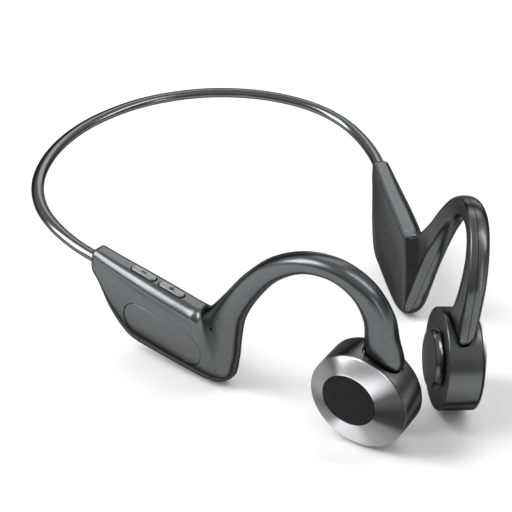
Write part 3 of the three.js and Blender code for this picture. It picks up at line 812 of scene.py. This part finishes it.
def make_transducer(side):
    body = f"{side}_side"
    drum = drum_matrix()
    inner = DRUM_RADIUS - DRUM_WALL
    floor = -DRUM_DEPTH + DRUM_WALL
    hole = PAD_STEM + 0.3
    cup_outline = [(hole, -DRUM_DEPTH), (DRUM_RADIUS, -DRUM_DEPTH), (DRUM_RADIUS, -HALF_SEAM),
                   (inner, -HALF_SEAM), (inner, floor), (hole, floor)]
    cup = turned(rounded(cup_outline, [0, 0.4, 0.14, 0.1, 0, 0]))
    slot = filled_body(SLOT_START, TIP_END + 0.004, 40, -SLOT_GAP, SEAM_DEPTH, -SLOT_GAP)
    rebate = filled_body(SLOT_START, TIP_END + 0.008, 40, -SLOT_RIM, SEAM_DEPTH, -SLOT_RIM)
    core_radius = DRUM_RADIUS - RIM_DEPTH
    core = turned([(0, -2 * DRUM_DEPTH), (core_radius, -2 * DRUM_DEPTH), (core_radius, 9), (0, 9)])
    rebate = cut(rebate, moved(core, drum))
    cup = cut(moved(cup, drum), slot, rebate)
    piece(f"drum_wall_{side}", cup, side, "shell", body, f"transducer_housing_{side}")

    edge = DISC_RADIUS + 0.35
    cone_outline = [(0, HALF_SEAM), (DRUM_RADIUS, HALF_SEAM), (DRUM_RADIUS, CONE_FOOT),
                    (edge, CONE_HEIGHT), (0, CONE_HEIGHT)]
    cone = turned(rounded(cone_outline, [0, 0.12, 0.16, 0.1, 0]))
    for vert in cone.vertices:
        if vert.co.z > CONE_FOOT:
            vert.co += DISC_OFFSET * ((vert.co.z - CONE_FOOT) / (CONE_HEIGHT - CONE_FOOT))
    pocket = turned([(0, CONE_HEIGHT - POCKET_DEPTH), (DISC_RADIUS + DISC_GAP, CONE_HEIGHT - POCKET_DEPTH),
                     (DISC_RADIUS + DISC_GAP, 5), (0, 5)])
    well = turned([(0, -1), (2.2, -1), (2.2, 2), (0, 2)], 48)
    offset = Matrix.Translation(DISC_OFFSET)
    cone = cut(cone, moved(pocket, offset), moved(well, offset))
    piece(f"cone_ring_{side}", moved(cone, drum), side, "cone", body, f"transducer_cone_{side}")

    thickness = PRESSED_DISC if side == "left" else POCKET_DEPTH - 0.1
    low = CONE_HEIGHT - thickness
    disc_outline = [(0, low), (DISC_RADIUS, low), (DISC_RADIUS, CONE_HEIGHT), (0, CONE_HEIGHT)]
    disc = turned(rounded(disc_outline, [0, 0.1, 0.14, 0]))
    name, carrier, node = "multifunction_cap", "multifunction_key", "multifunction_button"
    if side == "right":
        name, carrier, node = "disc_inlay_right", body, "disc_right"
    piece(name, moved(moved(disc, offset), drum), side, "disc", carrier, node)

    base = -DRUM_DEPTH - HALF_SEAM
    face = -DRUM_DEPTH - PAD_HEIGHT
    flare = []
    for step in range(1, 8):
        turn = math.pi / 2 * step / 8
        radius = PAD_RADIUS - PAD_LIP + (1 - math.cos(turn))
        height = face + PAD_CROWN + (base - face - PAD_CROWN) * math.sin(turn)
        flare.append((radius, height))
    crown = [(0, face), (PAD_RADIUS, face), (PAD_RADIUS - PAD_LIP, face + PAD_CROWN)]
    profile = rounded(crown, [0, 0.12, 0]) + flare
    profile += [(PAD_RADIUS + 0.6, base), (PAD_STEM, base), (PAD_STEM, floor + 0.5), (0, floor + 0.5)]
    pad = turned(profile)
    piece(f"pad_cap_{side}", moved(pad, drum), side, "pad", body, f"contact_pad_{side}")


def mark_stroke(length, width, proud):
    x, y = length / 2, width / 2
    return prism([(-x, -y), (x, -y), (x, y), (-x, y)], BUTTON_PROUD - 0.1, BUTTON_PROUD + proud)


def make_buttons():
    for name, place in BUTTON_PLACES.items():
        cap = prism(pill(BUTTON_LENGTH, BUTTON_WIDTH), -1.2, BUTTON_PROUD, rim=0.25)
        matrix = rail_matrix(place)
        piece(f"{name}_cap", moved(cap, matrix), "right", "button", f"{name}_key", f"{name}_button")
        strokes = [mark_stroke(MARK_LENGTH, MARK_WIDTH, 0.02)]
        if name == "volume_up":
            strokes.append(mark_stroke(MARK_WIDTH, MARK_LENGTH * 0.8, 0.021))
        for number, stroke in enumerate(strokes):
            shape = moved(moved(stroke, matrix), unit_matrix("right"))
            mark = bpy.data.objects.new(f"{name}_mark_{number}", shape)
            mark.data.materials.append(MATERIALS["mark"])
            bpy.context.collection.objects.link(mark)
            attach(mark, f"{name}_key")


def make_band():
    cores = (("band_sleeve", "neckband_sleeve", "band", BAND_WIDTH, BAND_HEIGHT, 0.0),
             ("band_wire", "neckband_wire", "steel", 2 * WIRE_RADIUS, 2 * WIRE_RADIUS, CORE_OFFSET),
             ("band_cable", "signal_cable", "copper", 2 * CABLE_RADIUS, 2 * CABLE_RADIUS, -CORE_OFFSET))
    for side, first, last in (("left", 0, 0.5), ("right", 1, 0.5)):
        for name, node, slot, width, height, offset in cores:
            corners = 28 if name == "band_sleeve" else 10
            tube = band_tube(first, last, 150, width, height, offset, corners)
            tube.transform(Matrix.Translation(DATUM) @ Matrix.Scale(MM, 4))
            made = piece(f"{name}_{side}", tube, None, slot, None, f"{node}_{side}", f"{node}_centre")
            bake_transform(made)


for side in SIDES:
    make_shells(side)
    make_transducer(side)
make_buttons()
make_band()

# CAD nodes that stay get their finish
SLOTS = {part["node"]: part["material_slot"] for part in frame["record"]["subparts"]}
for name, node in frame["nodes"].items():
    if not node.hide_render:
        node.data.materials.clear()
        node.data.materials.append(MATERIALS[SLOTS[name]])


# ---- Floor, light and camera -----------------------------------------------------------------------
LENS = 118.97
CAMERA_AZIMUTH = -32.4993       # degrees: in front of the headset, towards its right unit
CAMERA_ELEVATION = 30.7252
CAMERA_PLACE = (-208.45, -257.26, 229.40)   # millimetres from DATUM


def plain(name, color, roughness):
    made = bpy.data.materials.new(name)
    made.use_nodes = True
    shader = made.node_tree.nodes["Principled BSDF"]
    shader.inputs["Base Color"].default_value = (*color, 1)
    shader.inputs["Roughness"].default_value = roughness
    return made


def area_light(name, place, target, size, power):
    light = bpy.data.lights.new(name, "AREA")
    light.shape = "RECTANGLE"
    light.size, light.size_y = size
    light.energy = power
    made = bpy.data.objects.new(name, light)
    made.location = place
    made.rotation_euler = (Vector(target) - Vector(place)).to_track_quat("-Z", "Y").to_euler()
    bpy.context.collection.objects.link(made)


floor = bpy.data.objects.new("floor", mesh_of(
    [Vector((-3, -3, 0)), Vector((3, -3, 0)), Vector((3, 3, 0)), Vector((-3, 3, 0))], [(0, 1, 2, 3)]))
floor.data.materials.append(plain("floor_pale", (0.9, 0.9, 0.9), 0.6))
floor.location.z = -0.0002
bpy.context.collection.objects.link(floor)

world = bpy.data.worlds.new("studio")
bpy.context.scene.world = world
world.use_nodes = True
sky = world.node_tree.nodes.new("ShaderNodeTexCoord")
height = world.node_tree.nodes.new("ShaderNodeSeparateXYZ")
shade = world.node_tree.nodes.new("ShaderNodeValToRGB")
shade.color_ramp.elements[0].position = 0.15
shade.color_ramp.elements[0].color = (0.14, 0.14, 0.142, 1)
shade.color_ramp.elements[1].position = 0.6
shade.color_ramp.elements[1].color = (0.6, 0.6, 0.605, 1)
world.node_tree.links.new(sky.outputs["Generated"], height.inputs[0])
world.node_tree.links.new(height.outputs["Z"], shade.inputs["Fac"])
world.node_tree.links.new(shade.outputs["Color"], world.node_tree.nodes["Background"].inputs["Color"])

area_light("key", (-0.6, 0.28, 0.62), (0, 0, 0), (0.45, 0.8), 8.5)
area_light("fill", (0.45, -0.35, 0.6), (0, 0, 0.02), (0.12, 0.6), 1.6)
area_light("back_card", (0.62, 0.62, 0.45), (0, 0, 0.02), (0.6, 1.0), 3.2)
area_light("front_card", (0.33, -1.0, 0.15), (0, 0, 0.02), (0.14, 0.5), 0.9)

camera = bpy.data.objects.new("camera", bpy.data.cameras.new("camera"))
camera.data.lens = LENS
camera.data.sensor_width = 36
camera.data.clip_start, camera.data.clip_end = 0.01, 20
azimuth, elevation = math.radians(CAMERA_AZIMUTH), math.radians(CAMERA_ELEVATION)
right = Vector((math.cos(azimuth), math.sin(azimuth), 0))
level = math.cos(elevation)
back = Vector((math.sin(azimuth) * level, -math.cos(azimuth) * level, math.sin(elevation)))
above = back.cross(right)
turn = Matrix((right, above, back)).transposed().to_4x4()
camera.matrix_world = Matrix.Translation(DATUM + Vector(CAMERA_PLACE) * MM) @ turn
bpy.context.collection.objects.link(camera)
bpy.context.scene.camera = camera
bpy.context.scene.view_settings.view_transform = "Standard"
